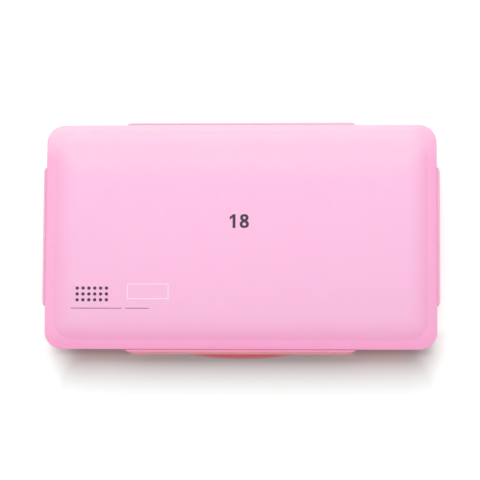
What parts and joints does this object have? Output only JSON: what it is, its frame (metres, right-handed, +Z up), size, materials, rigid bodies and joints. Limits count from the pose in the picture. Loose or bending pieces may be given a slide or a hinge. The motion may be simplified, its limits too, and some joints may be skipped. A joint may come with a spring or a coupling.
{
  "type": "gouache paint set box",
  "caption": "Flat pink plastic paint box: a domed lid locked to a tray by hinged flaps on all sides, with sealed cups of gouache and a mixing palette inside.",
  "frame": {"origin": "middle of the underside, on the table", "axes": "+X to the right along the long side, +Y to the back, +Z up; the front, with the grip ledge, faces -Y"},
  "size_m": [0.3668, 0.2172, 0.039],
  "materials": {
    "tray_plastic": "satin moulded polypropylene, solid coral pink",
    "lid_plastic": "frosted polypropylene, slightly translucent pink",
    "flap_plastic": "the lid's frosted polypropylene, smoother",
    "palette_plastic": "white polystyrene, smooth wells",
    "cup_plastic": "clear polypropylene",
    "film": "clear peel-off film with a heat-sealed rim",
    "paint_01": "moist gouache, titanium white",
    "paint_02": "moist gouache, lemon yellow",
    "paint_03": "moist gouache, orange yellow",
    "paint_04": "moist gouache, vermilion",
    "paint_05": "moist gouache, carmine",
    "paint_06": "moist gouache, rose",
    "paint_07": "moist gouache, lilac",
    "paint_08": "moist gouache, violet",
    "paint_09": "moist gouache, prussian blue",
    "paint_10": "moist gouache, ultramarine",
    "paint_11": "moist gouache, sky blue",
    "paint_12": "moist gouache, peacock green",
    "paint_13": "moist gouache, viridian",
    "paint_14": "moist gouache, grass green",
    "paint_15": "moist gouache, ochre",
    "paint_16": "moist gouache, burnt sienna",
    "paint_17": "moist gouache, cool grey",
    "paint_18": "moist gouache, black"
  },
  "bodies": {
    "tray": {"base_tray": "tray_plastic", "cup_01": "cup_plastic", "cup_02": "cup_plastic", "cup_03": "cup_plastic", "cup_04": "cup_plastic", "cup_05": "cup_plastic", "cup_06": "cup_plastic", "cup_07": "cup_plastic", "cup_08": "cup_plastic", "cup_09": "cup_plastic", "cup_10": "cup_plastic", "cup_11": "cup_plastic", "cup_12": "cup_plastic", "cup_13": "cup_plastic", "cup_14": "cup_plastic", "cup_15": "cup_plastic", "cup_16": "cup_plastic", "cup_17": "cup_plastic", "cup_18": "cup_plastic", "paint_01": "paint_01", "paint_02": "paint_02", "paint_03": "paint_03", "paint_04": "paint_04", "paint_05": "paint_05", "paint_06": "paint_06", "paint_07": "paint_07", "paint_08": "paint_08", "paint_09": "paint_09", "paint_10": "paint_10", "paint_11": "paint_11", "paint_12": "paint_12", "paint_13": "paint_13", "paint_14": "paint_14", "paint_15": "paint_15", "paint_16": "paint_16", "paint_17": "paint_17", "paint_18": "paint_18", "films_row_1": "film", "films_row_2": "film", "films_row_3": "film"},
    "lid": {"lid": "lid_plastic", "palette": "palette_plastic"},
    "front_flap": {"front_flap": "flap_plastic"},
    "back_flap": {"back_flap": "flap_plastic"},
    "left_flap": {"left_flap": "flap_plastic"},
    "right_flap": {"right_flap": "flap_plastic"}
  },
  "joints": [
    {"name": "lid_lift", "type": "slide", "parent": "tray", "child": "lid", "axis": [0, 0, 1], "range_m": [0, 0.15]},
    {"name": "front_flap_hinge", "type": "hinge", "parent": "lid", "child": "front_flap", "pos_m": [0, -0.1046, 0.0356], "axis": [-1, 0, 0], "range_deg": [0, 110]},
    {"name": "back_flap_hinge", "type": "hinge", "parent": "lid", "child": "back_flap", "pos_m": [0, 0.1046, 0.0356], "axis": [1, 0, 0], "range_deg": [0, 110]},
    {"name": "left_flap_hinge", "type": "hinge", "parent": "lid", "child": "left_flap", "pos_m": [-0.1808, 0, 0.0356], "axis": [0, 1, 0], "range_deg": [0, 110]},
    {"name": "right_flap_hinge", "type": "hinge", "parent": "lid", "child": "right_flap", "pos_m": [0.1808, 0, 0.0356], "axis": [0, -1, 0], "range_deg": [0, 110]}
  ]
}
